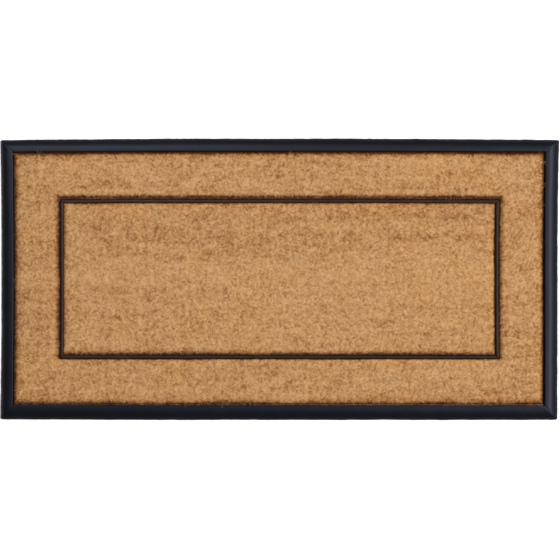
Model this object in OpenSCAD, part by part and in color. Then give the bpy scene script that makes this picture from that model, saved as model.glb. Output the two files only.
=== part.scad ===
// Door mat: two coir brush mats, a ring and the panel inside it, moulded onto a rubber backing
// sheet, with a mitred rubber border round the outside and a thin raised rubber rib between them.
// Units are millimetres. +X runs along the length, +Y towards the rear edge and +Z up.
// The origin is at the middle of the underside.

/* [Mat] */
// Length of the whole mat along X
mat_l = 1219; // [1050:1:1500]
// Width of the whole mat along Y
mat_w = 616; // [450:1:900]

/* [Backing sheet] */
// Thickness of the rubber backing sheet
sheet_t = 3; // [2:0.5:5]
// Distance from the outer edge of the mat to the edge of the sheet
sheet_inset = 16; // [10:1:20]
// Distance between the grip grooves on the underside
groove_pitch = 72; // [40:1:120]
// Width of one grip groove
groove_w = 5; // [2:0.5:8]
// Depth of one grip groove
groove_depth = 0.8; // [0.4:0.1:1.2]

/* [Border strips] */
// Width of the rear border strip
border_rear_w = 28.5; // [24:0.5:40]
// Width of the front border strip
border_front_w = 33; // [24:0.5:40]
// Width of the left border strip
border_left_w = 27; // [24:0.5:40]
// Width of the right border strip
border_right_w = 30; // [24:0.5:40]
// Height of the crest of the border above the floor
border_h = 14.5; // [12:0.5:18]
// Height of the upright outer edge of the border
border_edge_h = 2.5; // [1:0.5:4]
// Distance from the crest of the border to its inner edge
crest_inset = 6.5; // [5:0.5:9]
// Radius of the shoulder of the border, beside the coir
shoulder_r = 2.5; // [1:0.5:4]

/* [Rib strips] */
// Outside length of the rib frame along X, over the beads
rib_frame_l = 963; // [700:1:1000]
// Outside width of the rib frame along Y, over the beads
rib_frame_w = 350; // [200:1:370]
// Width of the rounded bead of a rib
bead_w = 9; // [8:0.5:14]
// Height of the top of the bead above the floor
bead_h = 13; // [10:0.5:16]
// Radius of the two upper corners of the bead
bead_corner_r = 3.5; // [1:0.5:3.5]
// How far the foot of a rib stands out on each side of its bead
rib_foot = 2; // [1:0.5:4]

/* [Coir mats] */
// Thickness of the ground weave that clamps the tufts
ground_t = 2.5; // [1.5:0.5:4]
// Height of the clipped pile above the floor
pile_h = 16; // [14:0.5:22]
// Gap between the outer pile and the border strips
border_gap = 2.5; // [1:0.5:5]
// Gap between the outer pile and the beads of the ribs
outer_rib_gap = 1; // [0.5:0.5:8]
// Gap between the inner pile and the beads of the ribs
inner_rib_gap = 0.5; // [0.5:0.5:5]

/* [Hidden] */

$fn = 96;
// How far a cutting shape runs past the face that it cuts
overshoot = 1;
ground_top = sheet_t + ground_t;

rubber = [0.13, 0.13, 0.15];
rubber_under = [0.2, 0.2, 0.22];
coir = [0.75, 0.55, 0.37];
coir_ground = [0.5, 0.34, 0.2];

// The sides of a rectangle, in turn round it
left = 0;
front = 1;
right = 2;
rear = 3;

// A rectangle on the mat lists the X of its left side, the Y of its front, the X of its right
// side and the Y of its rear
mat_rect = [-mat_l / 2, -mat_w / 2, mat_l / 2, mat_w / 2];
sheet_rect = inset(mat_rect, sheet_inset);
field_rect = [
    mat_rect[left] + border_left_w,
    mat_rect[front] + border_front_w,
    mat_rect[right] - border_right_w,
    mat_rect[rear] - border_rear_w,
];
bead_rect = [-rib_frame_l / 2, -rib_frame_w / 2, rib_frame_l / 2, rib_frame_w / 2];
panel_rect = inset(bead_rect, bead_w);
foot_rect = inset(bead_rect, -rib_foot);
foot_inner_rect = inset(panel_rect, rib_foot);

// The rectangle with every side moved in by a distance
function inset(rect, by) =
    [rect[left] + by, rect[front] + by, rect[right] - by, rect[rear] - by];

// The corner of a rectangle where a side begins, going round it anticlockwise
function corner(rect, side) =
    [
        [rect[left], rect[rear]],
        [rect[left], rect[front]],
        [rect[right], rect[front]],
        [rect[right], rect[rear]],
    ][side % 4];

// Length of a side of a rectangle
function side_length(rect, side) =
    side % 2 == 0 ? rect[rear] - rect[front] : rect[right] - rect[left];

// Places of an even number of grooves across a span, so that none is at its middle
function groove_places(span) =
    let (count = 2 * floor(span / groove_pitch / 2))
    [for (i = [0 : count - 1]) (i - (count - 1) / 2) * groove_pitch];

// Flat outline of a rectangle
module outline(rect) {
    translate([rect[left], rect[front]])
        square([rect[right] - rect[left], rect[rear] - rect[front]]);
}

// Slab between two heights over a rectangle
module slab(rect, low, high) {
    translate([0, 0, low])
        linear_extrude(high - low)
            outline(rect);
}

// Slab between two heights over a rectangle, round an open rectangle
module ring_slab(rect, open_rect, low, high) {
    translate([0, 0, low])
        linear_extrude(high - low)
            difference() {
                outline(rect);
                outline(open_rect);
            }
}

// Strip along one side of a rectangle, mitred where it meets its neighbours: the mitres run from
// the outer rectangle's corners to the inner one's. Its profile's first axis points inwards and
// its second axis points up.
module strip(outer_rect, inner_rect, side, height) {
    start = corner(outer_rect, side);
    intersection() {
        translate(start)
            rotate([0, 0, 90 * (side - front)])
                rotate([90, 0, 90])
                    linear_extrude(side_length(outer_rect, side))
                        children();
        linear_extrude(height)
            polygon([
                start,
                corner(outer_rect, side + 1),
                corner(inner_rect, side + 1),
                corner(inner_rect, side),
            ]);
    }
}

// Profile of a border strip of a given width: an upright outer edge, an arc that climbs to a
// level crest, and a round shoulder. A rebate underneath laps over the edge of the sheet.
module border_profile(w) {
    crest = w - crest_inset;
    climb = border_h - border_edge_h;
    slope_r = (crest * crest + climb * climb) / (2 * climb);
    difference() {
        union() {
            intersection() {
                square([crest, border_h]);
                translate([crest, border_h - slope_r])
                    circle(r = slope_r);
            }
            translate([crest, 0])
                square([crest_inset, border_h - shoulder_r]);
            translate([crest, 0])
                square([crest_inset - shoulder_r, border_h]);
            translate([w - shoulder_r, border_h - shoulder_r])
                circle(r = shoulder_r);
        }
        translate([sheet_inset, -overshoot])
            square([w, sheet_t + overshoot]);
    }
}

// Profile of a rib strip: a foot as thick as the ground weave, and a bead with round corners
module rib_profile() {
    translate([0, sheet_t])
        square([bead_w + 2 * rib_foot, ground_t]);
    translate([rib_foot, sheet_t])
        square([bead_w, bead_h - bead_corner_r - sheet_t]);
    translate([rib_foot + bead_corner_r, sheet_t])
        square([bead_w - 2 * bead_corner_r, bead_h - sheet_t]);
    for (across = [bead_corner_r, bead_w - bead_corner_r])
        translate([rib_foot + across, bead_h - bead_corner_r])
            circle(r = bead_corner_r);
}

module border_strip(side, w) {
    color(rubber)
        strip(mat_rect, field_rect, side, border_h + overshoot)
            border_profile(w);
}

module rib_strip(side) {
    color(rubber)
        strip(foot_rect, foot_inner_rect, side, bead_h + overshoot)
            rib_profile();
}

// Sheet under the whole mat. A grid of shallow grooves leaves square lands that grip the floor.
module backing_sheet() {
    groove_l = field_rect[right] - field_rect[left] - groove_pitch;
    groove_span = field_rect[rear] - field_rect[front] - groove_pitch;
    color(rubber_under)
        difference() {
            slab(sheet_rect, 0, sheet_t);
            for (x = groove_places(groove_l))
                translate([x - groove_w / 2, -groove_span / 2, -overshoot])
                    cube([groove_w, groove_span, groove_depth + overshoot]);
            for (y = groove_places(groove_span))
                translate([-groove_l / 2, y - groove_w / 2, -overshoot])
                    cube([groove_l, groove_w, groove_depth + overshoot]);
        }
}

module border_rear() {
    border_strip(rear, border_rear_w);
}

module border_front() {
    border_strip(front, border_front_w);
}

module border_left() {
    border_strip(left, border_left_w);
}

module border_right() {
    border_strip(right, border_right_w);
}

module rib_rear() {
    rib_strip(rear);
}

module rib_front() {
    rib_strip(front);
}

module rib_left() {
    rib_strip(left);
}

module rib_right() {
    rib_strip(right);
}

// Woven layer of the ring, which butts against the border and the feet of the ribs
module outer_ground() {
    color(coir_ground)
        ring_slab(field_rect, foot_rect, sheet_t, ground_top);
}

// Tufts of the ring, which stand in its ground weave
module outer_pile() {
    color(coir)
        ring_slab(
            inset(field_rect, border_gap),
            inset(bead_rect, -outer_rib_gap),
            ground_top,
            pile_h
        );
}

// Woven layer of the inner panel, which butts against the feet of the ribs
module inner_ground() {
    color(coir_ground)
        slab(foot_inner_rect, sheet_t, ground_top);
}

// Tufts of the inner panel, which stand in its ground weave
module inner_pile() {
    color(coir)
        slab(inset(panel_rect, inner_rib_gap), ground_top, pile_h);
}

backing_sheet();
border_rear();
border_front();
border_left();
border_right();
rib_rear();
rib_front();
rib_left();
rib_right();
outer_ground();
outer_pile();
inner_ground();
inner_pile();
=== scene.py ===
"""Door mat: a coir ring and a coir panel in a mitred rubber border, with a rubber rib between.

The rubber strips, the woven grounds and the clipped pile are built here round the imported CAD
model. Lengths are metres. +X runs along the mat, +Y towards its rear edge and +Z up.
"""
import math

import bmesh
import bpy
import numpy as np
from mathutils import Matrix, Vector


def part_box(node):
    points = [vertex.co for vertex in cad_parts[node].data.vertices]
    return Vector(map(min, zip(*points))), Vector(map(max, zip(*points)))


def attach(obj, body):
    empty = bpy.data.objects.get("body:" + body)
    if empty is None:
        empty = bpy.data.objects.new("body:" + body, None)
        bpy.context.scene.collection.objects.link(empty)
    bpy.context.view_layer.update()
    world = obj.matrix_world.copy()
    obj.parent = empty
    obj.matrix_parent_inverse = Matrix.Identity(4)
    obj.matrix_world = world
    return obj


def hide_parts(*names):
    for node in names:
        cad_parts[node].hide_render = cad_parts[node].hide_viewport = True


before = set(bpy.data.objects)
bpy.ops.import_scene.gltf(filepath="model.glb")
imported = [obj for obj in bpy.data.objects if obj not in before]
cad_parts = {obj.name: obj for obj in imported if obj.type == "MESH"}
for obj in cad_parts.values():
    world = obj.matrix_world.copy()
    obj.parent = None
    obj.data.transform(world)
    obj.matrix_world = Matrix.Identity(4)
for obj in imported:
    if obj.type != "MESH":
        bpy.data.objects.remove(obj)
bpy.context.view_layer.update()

MM = 0.001
LEFT, FRONT, RIGHT, REAR = range(4)
SIDE_NAMES = ("left", "front", "right", "rear")

# ---------------------------------------------------------------- sizes read from the CAD frame


def rect_of(*nodes):
    """The X and Y edges of the nodes' joint box, as left, front, right, rear."""
    boxes = [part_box(node) for node in nodes]
    lows = [low for low, high in boxes]
    highs = [high for low, high in boxes]
    return (
        min(p.x for p in lows),
        min(p.y for p in lows),
        max(p.x for p in highs),
        max(p.y for p in highs),
    )


def inset(rect, by):
    """The rectangle with every side moved in."""
    return (rect[LEFT] + by, rect[FRONT] + by, rect[RIGHT] - by, rect[REAR] - by)


MAT = rect_of("border_left", "border_right")
FIELD = rect_of("outer_ground")
OUTER_PILE = rect_of("outer_pile")
INNER_PILE = rect_of("inner_pile")
INNER_GROUND = rect_of("inner_ground")
FOOT = rect_of("rib_left", "rib_right")
SHEET_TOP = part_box("backing_sheet")[1].z
SHEET_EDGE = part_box("backing_sheet")[0].x - MAT[LEFT]
GROUND_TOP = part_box("outer_ground")[1].z
PILE_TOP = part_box("outer_pile")[1].z
BORDER_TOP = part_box("border_front")[1].z
BEAD_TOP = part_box("rib_front")[1].z
FOOT_W = INNER_GROUND[LEFT] - FOOT[LEFT]
RIB_FOOT = 2 * MM
BEAD = inset(FOOT, RIB_FOOT)
RING_GAP = 0.3 * MM
RING_HOLE = inset(BEAD, -RING_GAP)

BORDER_GAP = OUTER_PILE[LEFT] - FIELD[LEFT]
PANEL_GAP = INNER_PILE[LEFT] - INNER_GROUND[LEFT] + RIB_FOOT
SHOULDER_R = 2.5 * MM
STRIP_STEP = 3 * MM
# Small nubs of flash along the foot of the border: how far they reach out, and the noise level
# they start at
NUB_REACH = 1.6 * MM
NUB_FROM = 0.72
BEAD_R = 3.5 * MM
# The inner pile presses against the rib on its left and at its rear
PANEL_PILE = (
    INNER_PILE[LEFT] - 1.2 * MM,
    INNER_PILE[FRONT],
    INNER_PILE[RIGHT],
    INNER_PILE[REAR] + 0.3 * MM,
)
# How far the middle of each rib bows inwards: left, front, right, rear
RIB_BOW = (0.0, 0.0, 1.7 * MM, -0.7 * MM)

# ---------------------------------------------------------------- how the coir is laid out

PILE_STEP = 2.0 * MM
WEAVE_STEP = 2.5 * MM
TUFT_PITCH = 4.0 * MM
RIM_PITCH = 1.2 * MM
LOOSE_PITCH = 12 * MM
CLIP_MARGIN = 0.8 * MM
SEED = 11
# How far under the tips of the fibres the pile's surface lies, and how high each pattern in it is
PILE_DIP = 2.5 * MM
TUFT_RISE = 1.3 * MM
TUFT_SPREAD = 1.0 * MM
CLUMP_RISE = 0.56 * MM
WIDE_CLUMP_RISE = 0.24 * MM
RIDGE_RISE = 0.42 * MM
GRAIN_SIZE = 0.1 * MM
GRAIN_RISE = 1.0 * MM
ROW_RISE = 0.5 * MM
COLUMN_RISE = 0.17 * MM
COLUMN_PITCH = 19.4 * MM
# A faint raised band runs along the mat: its height, the place of its crest, and how far it
# reaches towards the front and the rear
BAND_RISE = 0.9 * MM
BAND_Y = 11 * MM
BAND_FRONT_REACH = 22 * MM
BAND_REAR_REACH = 8 * MM
# How much lower the ring's pile lies, how much more so at its ends, and how far from the hole
# that takes; then the same for the rear part of the panel, from a line across it
RING_LOW = 0.12 * MM
RING_END_LOW = 0.28 * MM
RING_END_REACH = 30 * MM
PANEL_REAR_LOW = 0.45 * MM
PANEL_REAR_FROM = 40 * MM
PANEL_REAR_REACH = 50 * MM
# How the pile is worn along its left, front, right and rear rims: how far in that reaches, how
# far the rim itself has sunk, and how sharply it ends
# The sunken rims also come out darker, because the coir materials paint shade by depth
RING_OUTER_WEAR = (
    (4.5 * MM, 5.0 * MM, 1),
    (5.8 * MM, 5.0 * MM, 1),
    (4.2 * MM, 6.0 * MM, 1),
    (4.6 * MM, 5.4 * MM, 1.1),
)
RING_INNER_WEAR = (
    (7.0 * MM, 5.0 * MM, 1.7),
    (2.0 * MM, 1.5 * MM, 1),
    (5.5 * MM, 5.0 * MM, 1.1),
    (7.4 * MM, 6.1 * MM, 2.6),
)
PANEL_WEAR = (
    (3.0 * MM, 3.0 * MM, 1),
    (5.8 * MM, 4.8 * MM, 1.5),
    (3.0 * MM, 5.0 * MM, 1),
    (2.5 * MM, 2.0 * MM, 1),
)
# How far the bristles of the rims splay over the gap on average, where each rim starts and ends,
# going round from the rear left corner: left, front, right, rear
RING_OUTER_SPLAY = ((0.7, 0.7), (2.0, 4.8), (-0.5, -0.5), (-1.0, -1.0))
RING_INNER_SPLAY = ((0.6, 0.6), (0.4, 0.4), (0.4, 0.4), (0.0, 0.0))
PANEL_SPLAY = ((1.0, 1.0), (0.2, 0.2), (-0.8, -0.8), (1.6, 1.6))
# Share of the wear that the bristles of the outermost rims show: they stand up, and come out
# darker only through the painted depth shade, as their tips lie lower than the pile further in
RIM_EASE = 0.5
# Each rim of the pile: the rectangle, 1 where the pile is inside it or -1 where it is round it,
# the gap beside it, the height and the rounding of the rubber past the gap, and the splay
OUTER_RIM = (OUTER_PILE, 1, BORDER_GAP, BORDER_TOP, SHOULDER_R, RING_OUTER_SPLAY)
RIB_RIM = (RING_HOLE, -1, RING_GAP, BEAD_TOP, BEAD_R, RING_INNER_SPLAY)
PANEL_RIM = (PANEL_PILE, 1, PANEL_GAP, BEAD_TOP, BEAD_R, PANEL_SPLAY)

# ---------------------------------------------------------------- repeatable noise


def hashed(ix, iy, seed):
    """A repeatable random number from 0 to 1 for each point of an integer lattice."""
    mask = 0xFFFFFFFF
    h = (np.asarray(ix, np.int64) * 374761393 + np.asarray(iy, np.int64) * 668265263) & mask
    h = (h + seed * 362437) & mask
    h = ((h ^ (h >> 13)) * 1274126177) & mask
    h = ((h ^ (h >> 16)) * 2246822519) & mask
    return (h ^ (h >> 15)) / mask


def noise(x, y, size, seed):
    """Smooth noise from -1 to 1 whose features are about one size across."""
    u, v = np.asarray(x, float) / size, np.asarray(y, float) / size
    iu, iv = np.floor(u).astype(np.int64), np.floor(v).astype(np.int64)
    fu, fv = u - iu, v - iv
    fu, fv = fu * fu * (3 - 2 * fu), fv * fv * (3 - 2 * fv)
    near = hashed(iu, iv, seed) * (1 - fu) + hashed(iu + 1, iv, seed) * fu
    far = hashed(iu, iv + 1, seed) * (1 - fu) + hashed(iu + 1, iv + 1, seed) * fu
    return 2 * (near * (1 - fv) + far * fv) - 1


# How far each side of the hand-laid mat stands outwards at its two ends and its middle, from
# its front or left end to its rear or right end
BOW = {
    LEFT: (2.4 * MM, -0.4 * MM, 2.4 * MM),
    FRONT: (-1.4 * MM, 0.4 * MM, -0.2 * MM),
    RIGHT: (-0.9 * MM, -0.3 * MM, 3.8 * MM),
    REAR: (-2.9 * MM, 0.7 * MM, -2.4 * MM),
}
# How far the whole layout wanders on top of that, and over what distance
WANDER = 0.35 * MM
WANDER_SIZE = 110 * MM
# How far from a rib the coir moves with it
BOW_REACH = 25 * MM


def bowed(side, t):
    """A side's outward offset at t, which runs from -1 to 1 along it."""
    low, middle, high = BOW[side]
    return middle + np.where(t < 0, low - middle, high - middle) * np.abs(t) ** 2.5


def warp(x, y):
    """Moves points of the flat layout to where the hand-laid mat has them."""
    tx, ty = x / MAT[RIGHT], y / MAT[REAR]
    dx = bowed(RIGHT, ty) * np.clip(tx, 0, 1) ** 6 - bowed(LEFT, ty) * np.clip(-tx, 0, 1) ** 6
    dy = bowed(REAR, tx) * np.clip(ty, 0, 1) ** 4 - bowed(FRONT, tx) * np.clip(-ty, 0, 1) ** 4
    dx = dx + WANDER * noise(x, y, WANDER_SIZE, 1)
    dy = dy + WANDER * noise(x, y, WANDER_SIZE, 2)
    return x + dx, y + dy


def bow_share(t):
    """How much of a rib's bow there is a share t of the way along it."""
    return np.sqrt(np.sin(math.pi * np.clip(t, 0, 1)).clip(0))


def beside_ribs(x, y):
    """Moves points of the coir near a rib with the rib's bow."""
    half = FOOT_W / 2
    along_x = bow_share((x - FOOT[LEFT]) / (FOOT[RIGHT] - FOOT[LEFT]))
    along_y = bow_share((y - FOOT[FRONT]) / (FOOT[REAR] - FOOT[FRONT]))

    def near(off):
        return np.clip(1.3 - np.abs(off) / BOW_REACH, 0, 1)

    dx = RIB_BOW[LEFT] * near(x - FOOT[LEFT] - half) * along_y
    dx = dx - RIB_BOW[RIGHT] * near(FOOT[RIGHT] - half - x) * along_y
    dy = RIB_BOW[FRONT] * near(y - FOOT[FRONT] - half) * along_x
    dy = dy - RIB_BOW[REAR] * near(FOOT[REAR] - half - y) * along_x
    return x + dx, y + dy


# ---------------------------------------------------------------- mesh helpers


def mesh_object(name, points, faces):
    """A smooth-shaded mesh object from points and a list of face arrays, each of one face size."""
    mesh = bpy.data.meshes.new(name)
    points = np.asarray(points, np.float32)
    faces = [np.asarray(f, np.int32) for f in faces if len(f)]
    sizes = np.concatenate([np.full(len(f), f.shape[1], np.int32) for f in faces])
    corners = np.concatenate([f.ravel() for f in faces])
    starts = np.concatenate([[0], np.cumsum(sizes)[:-1]]).astype(np.int32)
    mesh.vertices.add(len(points))
    mesh.vertices.foreach_set("co", points.ravel())
    mesh.loops.add(len(corners))
    mesh.loops.foreach_set("vertex_index", corners)
    mesh.polygons.add(len(sizes))
    mesh.polygons.foreach_set("loop_start", starts)
    mesh.polygons.foreach_set("use_smooth", np.full(len(sizes), True))
    mesh.update(calc_edges=True)
    mesh.validate()
    made = bpy.data.objects.new(name, mesh)
    bpy.context.scene.collection.objects.link(made)
    return made


def close_bottom(piece):
    """Fills the open loops round a piece's lower edge with triangles."""
    shape = bmesh.new()
    shape.from_mesh(piece.data)
    rim = [edge for edge in shape.edges if edge.is_boundary]
    bmesh.ops.triangle_fill(shape, use_beauty=False, edges=rim)
    bmesh.ops.recalc_face_normals(shape, faces=shape.faces)
    shape.to_mesh(piece.data)
    shape.free()


def place(piece, slot, *nodes):
    """Rides the piece on the mat and hides the CAD nodes it stands for; slot is not used."""
    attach(piece, "root")
    if nodes:
        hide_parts(*nodes)
    return piece


# ---------------------------------------------------------------- rubber strips


def mitred_run(rect, side, next_widths):
    """Frame of a strip along one side: its start, its direction, its inward direction, its
    length, and how far each end's mitre runs in, which is the width of the strip it meets."""
    corners = (
        (rect[LEFT], rect[REAR]),
        (rect[LEFT], rect[FRONT]),
        (rect[RIGHT], rect[FRONT]),
        (rect[RIGHT], rect[REAR]),
    )
    start, end = np.array(corners[side]), np.array(corners[(side + 1) % 4])
    length = float(np.linalg.norm(end - start))
    along = (end - start) / length
    inward = np.array((-along[1], along[0]))
    return start, along, inward, length, next_widths


def stations(length, step):
    """Places along a strip, close together near its mitred ends."""
    near_end = np.array((0, 0.35, 0.7, 1.1, 1.6, 2.3, 3.2, 4.4, 6, 8, 10.5)) * MM
    count = max(2, round((length - 2 * near_end[-1]) / step))
    middle = np.linspace(near_end[-1], length - near_end[-1], count + 1)[1:-1]
    return np.concatenate([near_end, middle, length - near_end[::-1]])


def swept(name, run, width, profile, step, shape):
    """A closed strip: the profile's points (inward, up) at each station, moved by shape()."""
    start, along, inward, length, (first, last) = run
    u, z = np.array(profile).T
    places = stations(length, step)
    share = (places / length)[:, None]
    begin, finish = first * u / width, length - last * u / width
    s = begin[None, :] + share * (finish - begin)[None, :]
    to_mitre = np.minimum(s - begin[None, :], finish[None, :] - s)
    uu = np.repeat(u[None, :], len(places), 0)
    zz = np.repeat(z[None, :], len(places), 0)
    s, uu, zz = shape(s, uu, zz, to_mitre)
    x = start[0] + along[0] * s + inward[0] * uu
    y = start[1] + along[1] * s + inward[1] * uu
    x, y = warp(x, y)
    points = np.stack([x, y, zz], -1).reshape(-1, 3)
    rows, cols = s.shape
    i, j = np.meshgrid(np.arange(rows - 1), np.arange(cols), indexing="ij")
    k = (j + 1) % cols
    quads = np.stack(
        [i * cols + j, (i + 1) * cols + j, (i + 1) * cols + k, i * cols + k], -1
    ).reshape(-1, 4)
    caps = [np.arange(cols)[None, :], (rows - 1) * cols + np.arange(cols)[None, ::-1]]
    return mesh_object(name, points, [quads, *caps])


def arc(centre, radius, start, end, count):
    """Points on an arc between two angles in degrees."""
    angles = np.radians(np.linspace(start, end, count))
    return [(centre[0] + radius * math.cos(a), centre[1] + radius * math.sin(a)) for a in angles]


def border_profile(width):
    """Outline of a border strip: outer edge, climbing arc, crest, shoulder, flank, rebate."""
    edge_h, crest_in, shoulder = 2.5 * MM, 6.5 * MM, SHOULDER_R
    crest = width - crest_in
    climb = BORDER_TOP - edge_h
    radius = (crest**2 + climb**2) / (2 * climb)
    low_angle = 180 - math.degrees(math.acos(crest / radius))
    bevel, edge_face = 0.6 * MM, 1.5 * MM
    points = [(bevel, 0), (0, bevel), (0, edge_face)]
    points += arc((crest, BORDER_TOP - radius), radius, low_angle, 90, 16)
    points += [(crest + share * (crest_in - shoulder), BORDER_TOP) for share in (0.33, 0.67)]
    points += arc((width - shoulder, BORDER_TOP - shoulder), shoulder, 90, 0, 7)
    points += [(width, z) for z in (10 * MM, 8 * MM, 6 * MM, SHEET_TOP)]
    points += [(SHEET_EDGE, SHEET_TOP), (SHEET_EDGE, 0)]
    return points


def shape_border(seed, width):
    """Mitre creases, moulding flash along the outer edge and the waviness of pressed rubber."""

    def shape(s, u, z, to_mitre):
        upper = np.clip((z - 4 * MM) / (6 * MM), 0, 1)
        settled = np.clip(to_mitre / (8 * MM), 0, 1)
        z = z - 0.5 * MM * upper * np.exp(-((to_mitre / (1.6 * MM)) ** 2))
        z = z + upper * 0.28 * MM * noise(s, u, 45 * MM, seed)
        z = z + upper * 0.08 * MM * noise(s, u, 12 * MM, seed + 1)
        outer = np.clip(1 - u / (4 * MM), 0, 1)
        rounding = 1.1 * MM * outer * np.exp(-((to_mitre / (2.2 * MM)) ** 2))
        s = s + np.where(s < s.mean(), rounding, -rounding)
        ragged = 0.3 * MM * noise(s, 0, 22 * MM, seed + 2)
        ragged = ragged + 0.2 * MM * noise(s, 0, 6 * MM, seed + 3)
        nubs = NUB_REACH * np.clip(noise(s, 7, 9 * MM, seed + 4) - NUB_FROM, 0, 1) / (1 - NUB_FROM)
        flash = ragged * np.clip(z / (0.5 * MM), 0, 1) + nubs * np.clip(1 - z / (3 * MM), 0, 1)
        u = u + rounding - outer * settled * flash
        flank = np.clip(1 - (width - u) / (4 * MM), 0, 1) * upper * settled
        u = u + flank * 0.3 * MM * noise(s, 3, 30 * MM, seed + 5)
        return s, u, z

    return shape


def rib_profile():
    """Outline of a rib strip: a foot as thick as the ground weave, and a rounded bead."""
    foot = RIB_FOOT
    bead = FOOT_W - 2 * foot
    corner = BEAD_R
    inner, outer = foot + bead - corner, foot + corner
    points = [(0, SHEET_TOP), (0, GROUND_TOP), (foot, GROUND_TOP), (foot, GROUND_TOP + 2 * MM)]
    points += arc((outer, BEAD_TOP - corner), corner, 180, 90, 8)
    points += arc((inner, BEAD_TOP - corner), corner, 90, 0, 8)
    points += [(foot + bead, GROUND_TOP + 2 * MM), (foot + bead, GROUND_TOP)]
    points += [(FOOT_W, GROUND_TOP), (FOOT_W, SHEET_TOP)]
    return points


def shape_rib(seed, bow):
    """A bead laid by hand: it wanders sideways, rises and falls, and is creased at its mitres."""

    def shape(s, u, z, to_mitre):
        rise = np.clip((z - GROUND_TOP) / (1.5 * MM), 0, 1)
        off_centre = np.abs(u - FOOT_W / 2)
        bead = (z > GROUND_TOP - 0.1 * MM) & (off_centre < FOOT_W / 2 - RIB_FOOT / 2)
        length = s.max()
        wander = 0.35 * MM * noise(s, 0, 160 * MM, seed)
        wander = wander + 0.2 * MM * noise(s, 0, 35 * MM, seed + 1)
        wander = wander + bow * bow_share(s / length)
        settled = np.clip(to_mitre / (20 * MM), 0, 1)
        u = u + bead * wander * settled
        z = z + rise * 0.3 * MM * noise(s, 0, 50 * MM, seed + 2)
        z = z + rise * 0.1 * MM * noise(s, u, 7 * MM, seed + 3)
        z = z - rise * 0.9 * MM * np.exp(-((to_mitre / (0.9 * MM)) ** 2))
        return s, u, z

    return shape


def side_width(node, side):
    """Width of the strip that runs along a side."""
    low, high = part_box(node)
    return (high.x - low.x) if side in (LEFT, RIGHT) else (high.y - low.y)


def make_border():
    """The four border strips."""
    widths = [side_width("border_" + name, i) for i, name in enumerate(SIDE_NAMES)]
    made = []
    for side, name in enumerate(SIDE_NAMES):
        width = widths[side]
        run = mitred_run(MAT, side, (widths[side - 1], widths[(side + 1) % 4]))
        seed = 100 + 10 * side
        profile, shape = border_profile(width), shape_border(seed, width)
        strip = swept(f"{name}_border_strip", run, width, profile, STRIP_STEP, shape)
        made.append(place(strip, "rubber", "border_" + name))
    return made


def make_ribs():
    """The four rib strips."""
    made = []
    for side, name in enumerate(SIDE_NAMES):
        run = mitred_run(FOOT, side, (FOOT_W, FOOT_W))
        shape = shape_rib(200 + 10 * side, RIB_BOW[side])
        strip = swept(f"{name}_rib_strip", run, FOOT_W, rib_profile(), STRIP_STEP, shape)
        made.append(place(strip, "rubber", "rib_" + name))
    return made


# ---------------------------------------------------------------- coir slabs on a grid


def edge_lines(low, high, step, breaks):
    """Grid lines from low to high, about a step apart, that also fall on each break."""
    marks = sorted({low, high, *[b for b in breaks if low < b < high]})
    lines = [low]
    for a, b in zip(marks, marks[1:]):
        count = max(1, round((b - a) / step))
        lines += list(np.linspace(a, b, count + 1)[1:])
    return np.array(lines)


def side_distances(x, y, rect):
    """Distances inwards from a rectangle's left, front, right and rear sides."""
    return x - rect[LEFT], y - rect[FRONT], rect[RIGHT] - x, rect[REAR] - y


def rect_distance(x, y, rect):
    """Distance to the edge of a rectangle, positive inside it."""
    return np.minimum.reduce(side_distances(x, y, rect))


def fray(x, y, to_edge):
    """Moves points near a rim in and out, so that its outline wanders."""
    share = np.clip(1 - to_edge / (7 * MM), 0, 1)
    dx = 0.35 * MM * noise(x, y, 14 * MM, 71) + 0.2 * MM * noise(x, y, 4 * MM, 72)
    dy = 0.35 * MM * noise(x, y, 14 * MM, 73) + 0.2 * MM * noise(x, y, 4 * MM, 74)
    return x + share * dx, y + share * dy


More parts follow.
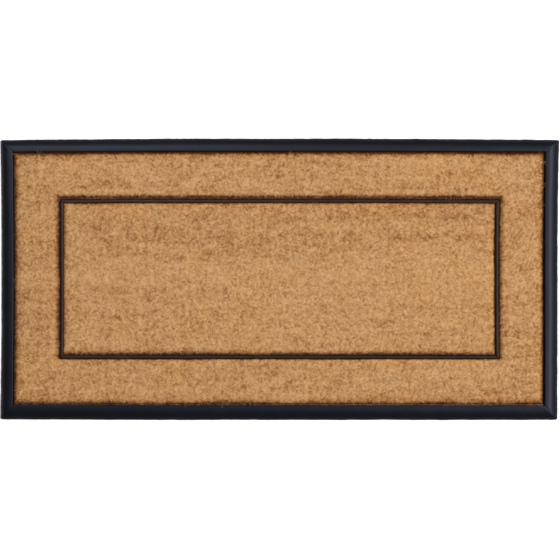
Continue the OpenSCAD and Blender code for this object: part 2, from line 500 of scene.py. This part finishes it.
def grid_slab(name, rect, hole, step, bottom, wall_levels, top_of, frayed):
    """A closed slab over a rectangle, open over the hole. top_of() gives the height of its top
    at a point; walls drop from the rim through the wall levels, which are shares of the
    height, to a flat bottom."""
    breaks_x = (hole[LEFT], hole[RIGHT]) if hole else ()
    breaks_y = (hole[FRONT], hole[REAR]) if hole else ()
    xs = edge_lines(rect[LEFT], rect[RIGHT], step, breaks_x)
    ys = edge_lines(rect[FRONT], rect[REAR], step, breaks_y)
    x, y = np.meshgrid(xs, ys, indexing="ij")
    to_edge = rect_distance(x, y, rect)
    mid_x, mid_y = (xs[1:] + xs[:-1]) / 2, (ys[1:] + ys[:-1]) / 2
    kept = np.ones((len(mid_x), len(mid_y)), bool)
    if hole:
        to_edge = np.minimum(to_edge, -rect_distance(x, y, hole))
        in_x = (mid_x > hole[LEFT]) & (mid_x < hole[RIGHT])
        in_y = (mid_y > hole[FRONT]) & (mid_y < hole[REAR])
        kept = ~(in_x[:, None] & in_y[None, :])
    ident = np.arange(x.size).reshape(x.shape)
    i, j = np.nonzero(kept)
    quads = np.stack([ident[i, j], ident[i + 1, j], ident[i + 1, j + 1], ident[i, j + 1]], -1)
    used = np.unique(quads)
    lookup = np.full(x.size, -1)
    lookup[used] = np.arange(len(used))
    quads = lookup[quads]
    px, py, edge = x.ravel()[used], y.ravel()[used], to_edge.ravel()[used]
    pz = top_of(px, py)
    # Rim edges are those used by one quad; each keeps its direction, so the walls face outwards
    pairs = np.concatenate([quads[:, [a, (a + 1) % 4]] for a in range(4)])
    keys = pairs.min(1) * len(used) + pairs.max(1)
    order, counts = np.unique(keys, return_counts=True)
    rim = pairs[np.isin(keys, order[counts == 1])]
    rim_points = np.unique(rim)
    if frayed:
        px, py = beside_ribs(*fray(px, py, edge))
    wx, wy = warp(px, py)
    points = [np.stack([wx, wy, pz], -1)]
    faces = [quads]
    upper = np.full(len(used), -1)
    upper[rim_points] = rim_points
    for share in wall_levels:
        lower = np.full(len(used), -1)
        lower[rim_points] = sum(len(p) for p in points) + np.arange(len(rim_points))
        z = bottom + (pz[rim_points] - bottom) * share
        points.append(np.stack([wx[rim_points], wy[rim_points], z], -1))
        faces.append(
            np.stack([upper[rim[:, 1]], upper[rim[:, 0]], lower[rim[:, 0]], lower[rim[:, 1]]], -1)
        )
        upper = lower
    made = mesh_object(name, np.concatenate(points), faces)
    close_bottom(made)
    return made


def nearest_tuft(x, y, pitch_x, pitch_y, jitter, seed):
    """Distance to the nearest tuft of a jittered brick layout, in pitches, and its number."""
    v = y / pitch_y
    row = np.floor(v).astype(np.int64)
    best = np.full(x.shape, 9.0)
    number = np.zeros(x.shape)
    for dr in (-1, 0, 1):
        r = row + dr
        u = x / pitch_x + 0.5 * (r % 2)
        column = np.floor(u).astype(np.int64)
        for dc in (-1, 0, 1):
            c = column + dc
            cu = c + 0.5 + jitter * (hashed(c, r, seed) - 0.5)
            cv = r + 0.5 + jitter * (hashed(c, r, seed + 1) - 0.5)
            far = np.hypot(u - cu, v - cv)
            closer = far < best
            best = np.where(closer, far, best)
            number = np.where(closer, hashed(c, r, seed + 2), number)
    return best, number


def patchy(x, y):
    """How much more or less than usual the rims are worn at a place."""
    return 1 + 0.2 * noise(x, y, 45 * MM, 315)


def sunk_inside(x, y, rect, wear):
    """How far the pile inside a rectangle has sunk along its worn sides."""
    sides = zip(side_distances(x, y, rect), wear)
    return patchy(x, y) * np.maximum.reduce([
        drop * np.exp(-((np.clip(d, 0, None) / reach) ** power))
        for d, (reach, drop, power) in sides
    ])


def sunk_round(x, y, rect, wear):
    """How far the pile round a rectangular hole has sunk along the hole's worn sides."""
    sides = zip(side_distances(x, y, rect), wear)
    return patchy(x, y) * np.minimum.reduce([
        drop * np.exp(-((np.clip(-d, 0, None) / reach) ** power)) + np.clip(d, 0, None)
        for d, (reach, drop, power) in sides
    ])


def pile_top(x, y, sunk):
    """Height of the clipped pile: tufts of yarn ends, clumps and ridges between them, faint
    columns and rows, and a faint raised band along the mat."""
    far, number = nearest_tuft(x, y, 5.0 * MM, 5.4 * MM, 0.9, 300)
    tuft = np.clip(1.0 - far, 0, 1) * TUFT_RISE + (number - 0.5) * TUFT_SPREAD
    clump = CLUMP_RISE * noise(x, y, 7 * MM, 310) + WIDE_CLUMP_RISE * noise(x, y, 19 * MM, 311)
    ridge = RIDGE_RISE * noise(x / 3, y, 8 * MM, 313)
    grain = hashed(np.round(x / GRAIN_SIZE), np.round(y / GRAIN_SIZE), 312) - 0.5
    row = ROW_RISE * noise(x / 30, y, 12 * MM, 316)
    wander = 2.5 * noise(x, y, 80 * MM, 317)
    column = COLUMN_RISE * np.sin(2 * math.pi * x / COLUMN_PITCH + wander)
    off = y - BAND_Y
    reach = np.where(off > 0, BAND_REAR_REACH, BAND_FRONT_REACH)
    band = BAND_RISE * np.exp(-((off / reach) ** 2))
    calm = 1 / (1 + sunk / (3 * MM))
    lively = tuft + clump + ridge + grain * GRAIN_RISE + row + column + band
    return PILE_TOP - PILE_DIP + calm * lively - sunk


def ring_top(x, y, ease=1):
    """Height of the outer pile, with only a share of the wear along its outer rims if asked."""
    outer = ease * sunk_inside(x, y, OUTER_PILE, RING_OUTER_WEAR)
    sunk = np.maximum(outer, sunk_round(x, y, RING_HOLE, RING_INNER_WEAR))
    ends = np.clip((np.abs(x) - RING_HOLE[RIGHT]) / RING_END_REACH, 0, 1)
    return pile_top(x, y, sunk) - (RING_LOW + RING_END_LOW * ends)


def panel_top(x, y):
    """Height of the inner pile."""
    low = PANEL_REAR_LOW * np.clip((y - PANEL_REAR_FROM) / PANEL_REAR_REACH, 0, 1)
    return pile_top(x, y, sunk_inside(x, y, PANEL_PILE, PANEL_WEAR)) - low


def weave_top(x, y):
    """Height of the ground weave: thick yarns that cross over and under each other."""
    pitch = 5 * MM
    warp_phase = np.abs(((x / pitch) % 1) - 0.5) * 2
    weft_phase = np.abs(((y / pitch) % 1) - 0.5) * 2
    over = (np.floor(x / pitch) + np.floor(y / pitch)) % 2
    rise = np.where(over > 0, np.cos(warp_phase * 1.3), np.cos(weft_phase * 1.3))
    return GROUND_TOP - 1.3 * MM + 1.1 * MM * rise + 0.15 * MM * noise(x, y, 2 * MM, 320)


# ---------------------------------------------------------------- fibres


def strands(name, paths, widths):
    """Closed three-sided fibres in one mesh, each along its own path from its root to its tip.
    paths is fibres by points by three; widths is each fibre's width at its root."""
    count, stops = paths.shape[:2]
    wx, wy = warp(*beside_ribs(paths[..., 0], paths[..., 1]))
    paths = np.stack([wx, wy, paths[..., 2]], -1)
    axis = paths[:, -1] - paths[:, 0]
    axis /= np.linalg.norm(axis, axis=1, keepdims=True)
    helper = np.where(np.abs(axis[:, 2:]) < 0.8, (0.0, 0.0, 1.0), (1.0, 0.0, 0.0))
    side = np.cross(axis, helper)
    side /= np.linalg.norm(side, axis=1, keepdims=True)
    other = np.cross(axis, side)
    rings = []
    for stop in range(stops - 1):
        reach = (widths / 2 * (1 - 0.35 * stop / (stops - 1)))[:, None]
        for angle in np.radians((0, 120, 240)):
            spoke = side * math.cos(angle) + other * math.sin(angle)
            rings.append(paths[:, stop] + reach * spoke)
    points = np.stack([*rings, paths[:, -1]], 1)
    base = (np.arange(count) * points.shape[1])[:, None]
    quads = [
        base + 3 * k + np.array([[c, (c + 1) % 3, 3 + (c + 1) % 3, 3 + c]])
        for k in range(stops - 2)
        for c in range(3)
    ]
    last = 3 * (stops - 2)
    tips = [base + np.array([[last + c, last + (c + 1) % 3, last + 3]]) for c in range(3)]
    caps = [base + np.array([[2, 1, 0]])]
    faces = [np.concatenate(quads), np.concatenate(tips + caps)]
    return mesh_object(name, points.reshape(-1, 3), faces)


def curve_points(controls, stops):
    """Points on cubic curves. controls is four arrays of fibres by three."""
    t = np.linspace(0, 1, stops)[None, :, None]
    a, b, c, d = (np.asarray(p)[:, None, :] for p in controls)
    return a * (1 - t) ** 3 + 3 * b * t * (1 - t) ** 2 + 3 * c * t * t * (1 - t) + d * t**3


def scattered(rect, pitch, rng):
    """One random point in each cell of a grid over a rectangle."""
    nx = int((rect[RIGHT] - rect[LEFT]) / pitch)
    ny = int((rect[REAR] - rect[FRONT]) / pitch)
    i, j = np.meshgrid(np.arange(nx), np.arange(ny), indexing="ij")
    x = rect[LEFT] + (i.ravel() + rng.uniform(0, 1, nx * ny)) * (rect[RIGHT] - rect[LEFT]) / nx
    y = rect[FRONT] + (j.ravel() + rng.uniform(0, 1, nx * ny)) * (rect[REAR] - rect[FRONT]) / ny
    return x, y


def tufted_bristles(name, clip, top_of, rng):
    """Tufts of three upright bristles all over the pile within the clip rectangle."""
    x, y = scattered(clip, TUFT_PITCH, rng)
    tufts = len(x)
    turn = rng.uniform(0, 2 * math.pi, tufts)
    shared_x = rng.normal(0, 0.22, tufts) + 0.25 * noise(x, y, 13 * MM, 330)
    shared_y = rng.normal(0, 0.22, tufts) + 0.25 * noise(x, y, 13 * MM, 331)
    lift = rng.normal(0.6, 0.55, tufts) * MM
    paths, widths = [], []
    for k in range(3):
        heading = turn + k * 2 * math.pi / 3 + rng.normal(0, 0.4, tufts)
        out = np.stack([np.cos(heading), np.sin(heading)], -1)
        spread = np.abs(rng.normal(0.32, 0.22, tufts))
        lean_xy = out * spread[:, None] + np.stack([shared_x, shared_y], -1)
        lean = np.column_stack([lean_xy, np.ones(tufts)])
        lean /= np.linalg.norm(lean, axis=1, keepdims=True)
        tip_xy = np.stack([x, y], -1) + out * (rng.uniform(0.5, 1.7, tufts) * MM)[:, None]
        tip_x = np.clip(tip_xy[:, 0], clip[LEFT], clip[RIGHT])
        tip_y = np.clip(tip_xy[:, 1], clip[FRONT], clip[REAR])
        top = top_of(tip_x, tip_y) + lift + rng.normal(0, 0.3, tufts) * MM
        top = np.minimum(top, PILE_TOP + 0.8 * MM)
        length = np.minimum(rng.uniform(4.0, 6.0, tufts) * MM, (top - GROUND_TOP) * 0.95)
        tip = np.column_stack([tip_x, tip_y, top])
        root = tip - lean * length[:, None]
        bend = rng.normal(0, 0.08, (tufts, 3)) * length[:, None]
        paths.append(np.stack([root, (root + tip) / 2 + bend, tip], 1))
        widths.append(rng.uniform(0.6, 1.25, tufts) * MM)
    return strands(name, np.concatenate(paths), np.concatenate(widths))


def round_rim(rect, pitch, rng):
    """Random places all round a rectangle, the outward direction at each, its side and how far
    along that side it is."""
    west, south, east, north = rect
    spots, ways, sides, shares = [], [], [], []
    for side, (start, end, way) in enumerate((
        ((west, north), (west, south), (-1, 0)),
        ((west, south), (east, south), (0, -1)),
        ((east, south), (east, north), (1, 0)),
        ((east, north), (west, north), (0, 1)),
    )):
        start, end = np.array(start), np.array(end)
        count = int(np.linalg.norm(end - start) / pitch)
        share = (np.arange(count) + rng.uniform(0, 1, count)) / count
        spots.append(start + (end - start) * share[:, None])
        ways.append(np.tile(np.array(way, float), (count, 1)))
        sides.append(np.full(count, side))
        shares.append(share)
    return tuple(np.concatenate(part) for part in (spots, ways, sides, shares))


def rim_bristles(name, rim, rounds, top_of, rng):
    """Bristles that stand along the rims of a pile, and splay past them onto the rubber."""
    rect, way, gap, step_top, step_round, splay = rim
    runs = [round_rim(rect, RIM_PITCH, rng) for _ in range(rounds)]
    spot, out, side, share = (np.concatenate(parts) for parts in zip(*runs))
    count = len(spot)
    out = out * way
    first, last = np.array(splay)[side].T
    lean = first + (last - first) * share + rng.normal(0, 0.5, count)
    lean = np.clip(lean, -1.5, 5.4) * MM
    back = rng.uniform(0.6, 3.2, count) * MM
    root_xy = spot - out * back[:, None]
    top = top_of(root_xy[:, 0], root_xy[:, 1]) + rng.uniform(-0.5, 1.5, count) * MM
    along = np.stack([-out[:, 1], out[:, 0]], -1) * (rng.normal(0, 1.0, count) * MM)[:, None]
    past = lean - np.maximum(back - 1.5 * MM, 0)
    over = np.clip(past - gap, 0, step_round)
    rubber_z = step_top - step_round + np.sqrt(step_round**2 - (step_round - over) ** 2)
    tip_z = np.maximum(top, GROUND_TOP + 2.5 * MM)
    tip_z = np.where(over > 0, np.maximum(tip_z, rubber_z + 0.4 * MM), tip_z)
    root = np.column_stack([root_xy, np.full(count, GROUND_TOP + 0.3 * MM)])
    tip = np.column_stack([spot + along + out * past[:, None], tip_z])
    middle = root * 0.5 + tip * 0.5
    middle[:, :2] -= out * (0.25 * np.abs(lean))[:, None]
    paths = np.stack([root, middle, tip], 1)
    return strands(name, paths, rng.uniform(0.45, 0.85, count) * MM)


def loose_fibres(name, clips, top_of, rng):
    """Long fibres that have worked loose and lie on the pile."""
    spots = [scattered(clip, LOOSE_PITCH, rng) for clip in clips]
    x = np.concatenate([s[0] for s in spots])
    y = np.concatenate([s[1] for s in spots])
    count = len(x)
    heading = rng.uniform(0, math.pi, count)
    reach = rng.uniform(4, 9, count) * MM
    way = np.stack([np.cos(heading), 0.7 * np.sin(heading)], -1)
    across = np.stack([-way[:, 1], way[:, 0]], -1)
    controls = []
    for share, up in ((-1, -1.5), (-0.35, 1.6), (0.35, 1.6), (1, -0.2)):
        sway = across * (rng.normal(0, 1.6, count) * MM)[:, None]
        xy = np.stack([x, y], -1) + way * (share * reach)[:, None] + sway
        z = top_of(xy[:, 0], xy[:, 1]) + up * MM
        controls.append(np.column_stack([xy, np.minimum(z, PILE_TOP + 1.2 * MM)]))
    return strands(name, curve_points(controls, 6), rng.uniform(0.35, 0.6, count) * MM)


def overhanging(name, rim, step, share, top_of, rng):
    """Fibres that reach from a rim over the gap beside it and lie on the rubber. They come in
    wisps: share is how much of the rim has them."""
    rect, way, gap, step_top, *_ = rim
    spot, out, _, _ = round_rim(rect, 2.2 * MM, rng)
    out = out * way
    wisp = noise(spot[:, 0] + spot[:, 1], spot[:, 0] - spot[:, 1], 16 * MM, 340)
    kept = (wisp > 1 - 2 * share) & (rng.uniform(0, 1, len(spot)) < 0.75)
    spot, out = spot[kept], out[kept]
    count = len(spot)
    along = np.stack([-out[:, 1], out[:, 0]], -1)
    root_xy = spot - out * (rng.uniform(3, 7, count) * MM)[:, None]
    over = (rng.uniform(0.2, 1, count) ** 2 * step)[:, None]
    drift = rng.normal(0, 0.6, count)[:, None]
    high = np.maximum(top_of(root_xy[:, 0], root_xy[:, 1]), step_top - 1 * MM)
    lie = step_top + rng.uniform(0.3, 0.7, count) * MM
    controls = [
        np.column_stack([root_xy, high - 1.5 * MM]),
        np.column_stack([spot + along * drift * 2 * MM, np.maximum(high, lie) + 1.6 * MM]),
        np.column_stack([spot + out * gap + along * drift * 3 * MM, lie + 1.4 * MM]),
        np.column_stack([spot + out * (gap + over) + along * drift * (3 * MM + over), lie]),
    ]
    return strands(name, curve_points(controls, 7), rng.uniform(0.4, 0.7, count) * MM)


# ---------------------------------------------------------------- materials

RUBBER_ROUGH, RUBBER_SPECULAR = 0.48, 0.2
PEEL_STRENGTH, PEEL_DEPTH = 0.12, 0.3 * MM
COIR_ROUGH, COIR_SPECULAR = 0.8, 0.15
# How much each pattern shifts the shade of the coir, and how strongly painted shade darkens it
# with its depth in the pile
CLUMP_SHARE, STREAK_SHARE, END_SHARE, PAINTED_DEPTH_SHADE = 0.34, 0.28, 0.24, 0.5
# How much the shade varies from fibre to fibre, on the worn rims and everywhere else
WORN_FIBRE_SHARE, FIBRE_SHARE = 0.45, 0.8


def new_material(name, rough, specular):
    """A material with an empty node tree round its Principled shader."""
    made = bpy.data.materials.new(name)
    made.use_nodes = True
    nodes, links = made.node_tree.nodes, made.node_tree.links
    shader = nodes["Principled BSDF"]
    shader.inputs["Roughness"].default_value = rough
    shader.inputs["Specular IOR Level"].default_value = specular
    return made, nodes, links, shader


def noise_node(nodes, links, scale, detail, rough=0.5, stretch=1):
    """A 3-D noise texture in object coordinates, features one metre over scale across, and
    stretch times as long along X."""
    coords = nodes.new("ShaderNodeTexCoord")
    squeeze = nodes.new("ShaderNodeVectorMath")
    squeeze.operation = "MULTIPLY"
    squeeze.inputs[1].default_value = (1 / stretch, 1, 1)
    texture = nodes.new("ShaderNodeTexNoise")
    texture.inputs["Scale"].default_value = scale
    texture.inputs["Detail"].default_value = detail
    texture.inputs["Roughness"].default_value = rough
    links.new(coords.outputs["Object"], squeeze.inputs[0])
    links.new(squeeze.outputs[0], texture.inputs["Vector"])
    return texture


def ramp_node(nodes, links, source, stops):
    """A colour ramp over a source value, with (position, colour) stops."""
    ramp = nodes.new("ShaderNodeValToRGB")
    elements = ramp.color_ramp.elements
    while len(elements) < len(stops):
        elements.new(0.5)
    for element, (position, colour) in zip(elements, stops):
        element.position = position
        element.color = (*colour, 1)
    links.new(source, ramp.inputs["Fac"])
    return ramp


def voronoi_node(nodes, links, scale):
    """A random number for each cell of a flat pattern, cells one metre over scale across."""
    coords = nodes.new("ShaderNodeTexCoord")
    cells = nodes.new("ShaderNodeTexVoronoi")
    cells.voronoi_dimensions = "2D"
    cells.inputs["Scale"].default_value = scale
    links.new(coords.outputs["Object"], cells.inputs["Vector"])
    split = nodes.new("ShaderNodeSeparateColor")
    links.new(cells.outputs["Color"], split.inputs["Color"])
    return split.outputs["Red"]


def rubber_material(name, dark, light, specular_tint):
    """Black pressed rubber: a faint uneven bloom or dust and a fine orange peel."""
    made, nodes, links, shader = new_material(name, RUBBER_ROUGH, RUBBER_SPECULAR)
    shader.inputs["Specular Tint"].default_value = (*specular_tint, 1)
    bloom = noise_node(nodes, links, 30, 6, 0.6)
    tint = ramp_node(nodes, links, bloom.outputs["Fac"], [(0.3, dark), (0.7, light)])
    links.new(tint.outputs["Color"], shader.inputs["Base Color"])
    peel = noise_node(nodes, links, 900, 3)
    bump = nodes.new("ShaderNodeBump")
    bump.inputs["Strength"].default_value = PEEL_STRENGTH
    bump.inputs["Distance"].default_value = PEEL_DEPTH
    links.new(peel.outputs["Fac"], bump.inputs["Height"])
    links.new(bump.outputs["Normal"], shader.inputs["Normal"])
    return made


def maths(nodes, links, kind, a, b):
    """The output of a maths node over two inputs, each a socket or a number."""
    made = nodes.new("ShaderNodeMath")
    made.operation = kind
    for socket, value in zip(made.inputs, (a, b)):
        if isinstance(value, (int, float)):
            socket.default_value = value
        else:
            links.new(value, socket)
    return made.outputs[0]


def height_share(nodes, links, low, high):
    """0 at the low height above the floor and 1 at the high one."""
    coords = nodes.new("ShaderNodeTexCoord")
    split = nodes.new("ShaderNodeSeparateXYZ")
    links.new(coords.outputs["Object"], split.inputs[0])
    span = nodes.new("ShaderNodeMapRange")
    span.inputs["From Min"].default_value = low
    span.inputs["From Max"].default_value = high
    links.new(split.outputs["Z"], span.inputs["Value"])
    return span.outputs["Result"]


def coir_material(name, stops, low, high, per_fibre=0):
    """Coconut fibre: each yarn end and each fibre has a shade of its own, on top of clumps and
    streaks, and painted shade darkens all of them the deeper they lie, from the low height to the
    high one."""
    made, nodes, links, shader = new_material(name, COIR_ROUGH, COIR_SPECULAR)
    clumps = noise_node(nodes, links, 110, 5, 0.7).outputs["Fac"]
    streaks = noise_node(nodes, links, 60, 2, 0.6, 3).outputs["Fac"]
    ends = voronoi_node(nodes, links, 270)
    island = nodes.new("ShaderNodeNewGeometry").outputs["Random Per Island"]
    few_light = maths(nodes, links, "POWER", island, 3)
    value = 0.5
    for source, usual, share in (
        (clumps, 0.5, CLUMP_SHARE),
        (streaks, 0.5, STREAK_SHARE),
        (ends, 0.5, END_SHARE),
        (few_light, 0.25, per_fibre),
    ):
        centred = maths(nodes, links, "SUBTRACT", source, usual)
        part = maths(nodes, links, "MULTIPLY", centred, share)
        value = maths(nodes, links, "ADD", value, part)
    # Painted shade: the deeper the coir lies in the pile, the darker it is painted
    depth = maths(nodes, links, "SUBTRACT", height_share(nodes, links, low, high), 1)
    depth = maths(nodes, links, "MULTIPLY", depth, PAINTED_DEPTH_SHADE)
    value = maths(nodes, links, "ADD", value, depth)
    shade = ramp_node(nodes, links, value, stops)
    hue = noise_node(nodes, links, 16, 3, 0.6)
    tint = ramp_node(nodes, links, hue.outputs["Fac"], [
        (0.35, (1.0, 0.970, 0.925)),
        (0.65, (0.98, 1.0, 1.045)),
    ])
    mixed = nodes.new("ShaderNodeMix")
    mixed.data_type = "RGBA"
    mixed.blend_type = "MULTIPLY"
    mixed.inputs["Factor"].default_value = 1
    links.new(shade.outputs["Color"], mixed.inputs["A"])
    links.new(tint.outputs["Color"], mixed.inputs["B"])
    links.new(mixed.outputs["Result"], shader.inputs["Base Color"])
    return made


# ---------------------------------------------------------------- the mat

rubber = rubber_material(
    "rubber_moulded", (0.0012, 0.0014, 0.0020), (0.0030, 0.0030, 0.0042), (0.72, 0.76, 1.0)
)
dusty = rubber_material(
    "rubber_dusty", (0.0080, 0.0034, 0.0018), (0.0190, 0.0085, 0.0046), (0.85, 0.70, 0.68)
)
for strip in make_border():
    strip.data.materials.append(rubber)
for strip in make_ribs():
    strip.data.materials.append(dusty)

sheet_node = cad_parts["backing_sheet"]
sheet_node.data.materials.clear()
sheet_node.data.materials.append(rubber_material(
    "rubber_sheet", (0.0030, 0.0030, 0.0036), (0.0070, 0.0070, 0.0080), (0.9, 0.92, 1.0)
))

# The ground weave gets the same painted depth shade: the lower it lies below the ground's top, the
# darker it is painted
weave = coir_material("coir_weave", [
    (0.3, (0.030, 0.011, 0.004)),
    (0.5, (0.080, 0.034, 0.012)),
    (0.7, (0.170, 0.085, 0.034)),
], GROUND_TOP - 2 * MM, GROUND_TOP)
COIR_STOPS = [
    (0.0, (0.048, 0.013, 0.003)),
    (0.1, (0.104, 0.034, 0.008)),
    (0.2, (0.175, 0.069, 0.019)),
    (0.3, (0.250, 0.111, 0.034)),
    (0.4, (0.317, 0.156, 0.056)),
    (0.5, (0.371, 0.197, 0.077)),
    (0.65, (0.437, 0.249, 0.107)),
    (0.8, (0.502, 0.306, 0.147)),
    (1.0, (0.596, 0.396, 0.220)),
]
# The painted depth shade of the pile is darkest at the first height and gone at the second
DARKEST_AT, LIGHTEST_AT = PILE_TOP - 7 * MM, PILE_TOP - 1.5 * MM
body = coir_material("coir_body", COIR_STOPS, DARKEST_AT, LIGHTEST_AT)
straw = coir_material(
    "coir_fibre", COIR_STOPS, DARKEST_AT - 0.5 * MM, LIGHTEST_AT - 0.5 * MM, FIBRE_SHARE
)
# The rim bristles look darker only through the painted depth shade, as their tips lie low; this
# material just varies less from fibre to fibre
worn = coir_material("coir_worn", COIR_STOPS, DARKEST_AT, LIGHTEST_AT, WORN_FIBRE_SHARE)

walls = (0.66, 0.33, 0.0)
ring_body = grid_slab(
    "outer_pile_body", OUTER_PILE, RING_HOLE, PILE_STEP, GROUND_TOP, walls, ring_top, True
)
panel_body = grid_slab(
    "inner_pile_body", PANEL_PILE, None, PILE_STEP, GROUND_TOP, walls, panel_top, True
)
place(ring_body, "coir_pile", "outer_pile")
place(panel_body, "coir_pile", "inner_pile")
for piece in (ring_body, panel_body):
    piece.data.materials.append(body)

ring_weave = grid_slab(
    "outer_ground_weave", FIELD, FOOT, WEAVE_STEP, SHEET_TOP, (0.0,), weave_top, False
)
panel_weave = grid_slab(
    "inner_ground_weave", INNER_GROUND, None, WEAVE_STEP, SHEET_TOP, (0.0,), weave_top, False
)
place(ring_weave, "coir_ground", "outer_ground")
place(panel_weave, "coir_ground", "inner_ground")
for piece in (ring_weave, panel_weave):
    piece.data.materials.append(weave)

rng = np.random.default_rng(SEED)
west, south, east, north = inset(OUTER_PILE, CLIP_MARGIN)
hole_west, hole_south, hole_east, hole_north = inset(RING_HOLE, -CLIP_MARGIN)
ring_clips = (
    (west, hole_north, 0, north),
    (0, hole_north, east, north),
    (west, south, 0, hole_south),
    (0, south, east, hole_south),
    (west, hole_south, hole_west, hole_north),
    (hole_east, hole_south, east, hole_north),
)
panel_low, panel_high = INNER_PILE[LEFT] + CLIP_MARGIN, INNER_PILE[RIGHT] - CLIP_MARGIN
cuts = np.linspace(panel_low, panel_high, 5)
panel_clips = [
    (a, INNER_PILE[FRONT] + CLIP_MARGIN, b, INNER_PILE[REAR] - CLIP_MARGIN)
    for a, b in zip(cuts, cuts[1:])
]
ring_fibres = [
    tufted_bristles(f"outer_bristles_{k + 1}", clip, ring_top, rng)
    for k, clip in enumerate(ring_clips)
]
panel_fibres = [
    tufted_bristles(f"inner_bristles_{k + 1}", clip, panel_top, rng)
    for k, clip in enumerate(panel_clips)
]
outer_rims = rim_bristles(
    "outer_rim_bristles", OUTER_RIM, 4, lambda x, y: ring_top(x, y, RIM_EASE), rng
)
outer_rims.data.materials.append(worn)
ring_fibres.append(outer_rims)
ring_fibres.append(rim_bristles("rib_rim_bristles", RIB_RIM, 2, ring_top, rng))
panel_fibres.append(rim_bristles("inner_rim_bristles", PANEL_RIM, 2, panel_top, rng))
ring_fibres.append(loose_fibres("outer_loose_fibres", ring_clips, ring_top, rng))
panel_fibres.append(loose_fibres("inner_loose_fibres", panel_clips, panel_top, rng))
ring_fibres.append(overhanging("outer_overhang", OUTER_RIM, 7 * MM, 0.12, ring_top, rng))
ring_fibres.append(overhanging("rib_overhang", RIB_RIM, 3 * MM, 0.15, ring_top, rng))
for piece in (*ring_fibres, *panel_fibres):
    if not piece.data.materials:
        piece.data.materials.append(straw)
    place(piece, "coir_pile")

# ---------------------------------------------------------------- stage, light and camera

FLOOR_REACH = 30
FLOOR_Z = -0.2 * MM
FLOOR_GREY = 0.92
LIGHT_COLOUR = (0.97, 0.985, 1.0)
WORLD_LIGHT = 0.13
# The camera is far off with a long lens, straight above; the picture spans this much of the floor
CAMERA_LENS = 180
SENSOR = 36
VIEW_WIDTH = 1228.08 * MM
CAMERA_X, CAMERA_Y = 0.6 * MM, -1.4 * MM

floor = mesh_object(
    "floor",
    [
        (-FLOOR_REACH, -FLOOR_REACH, FLOOR_Z),
        (FLOOR_REACH, -FLOOR_REACH, FLOOR_Z),
        (FLOOR_REACH, FLOOR_REACH, FLOOR_Z),
        (-FLOOR_REACH, FLOOR_REACH, FLOOR_Z),
    ],
    [np.array([[0, 1, 2, 3]])],
)
floor_paint, _, _, floor_shader = new_material("floor_paint", 0.9, 0.1)
floor_shader.inputs["Base Color"].default_value = (FLOOR_GREY, FLOOR_GREY, FLOOR_GREY, 1)
floor.data.materials.append(floor_paint)


def area_light(name, place_at, size, power, colour, aim=(0.0, 0.0, 0.0)):
    """A rectangular area light that points at a place, the middle of the mat if none is given."""
    lamp = bpy.data.lights.new(name, "AREA")
    lamp.shape = "RECTANGLE"
    lamp.size, lamp.size_y = size
    lamp.energy = power
    lamp.color = colour
    made = bpy.data.objects.new(name, lamp)
    bpy.context.scene.collection.objects.link(made)
    made.location = place_at
    way = Vector(aim) - Vector(place_at)
    made.rotation_euler = way.to_track_quat("-Z", "Y").to_euler()
    return made


area_light("key", (4.4, 0.2, 7.0), (7.0, 2.4), 1120, LIGHT_COLOUR)
area_light("rear", (-1.1, 1.4, 2.2), (0.8, 0.5), 18, LIGHT_COLOUR)
# Adds only highlights, on the rubber at the rear left
glint = area_light(
    "glint", (-0.55, 0.55, 0.95), (1.0, 0.25), 7, LIGHT_COLOUR, aim=(-0.55, 0.0, 0.0)
)
glint.visible_diffuse = False
glint.visible_camera = False

world = bpy.data.worlds.new("studio")
bpy.context.scene.world = world
world.use_nodes = True
world.node_tree.nodes["Background"].inputs["Color"].default_value = (1, 1, 1, 1)
world.node_tree.nodes["Background"].inputs["Strength"].default_value = WORLD_LIGHT

camera_data = bpy.data.cameras.new("camera")
camera_data.lens = CAMERA_LENS
camera_data.sensor_width = SENSOR
camera_data.clip_end = 50
camera = bpy.data.objects.new("camera", camera_data)
bpy.context.scene.collection.objects.link(camera)
camera.location = (CAMERA_X, CAMERA_Y, VIEW_WIDTH * CAMERA_LENS / SENSOR)
bpy.context.scene.camera = camera

view_settings = bpy.context.scene.view_settings
view_settings.view_transform = "Standard"
view_settings.look = "None"
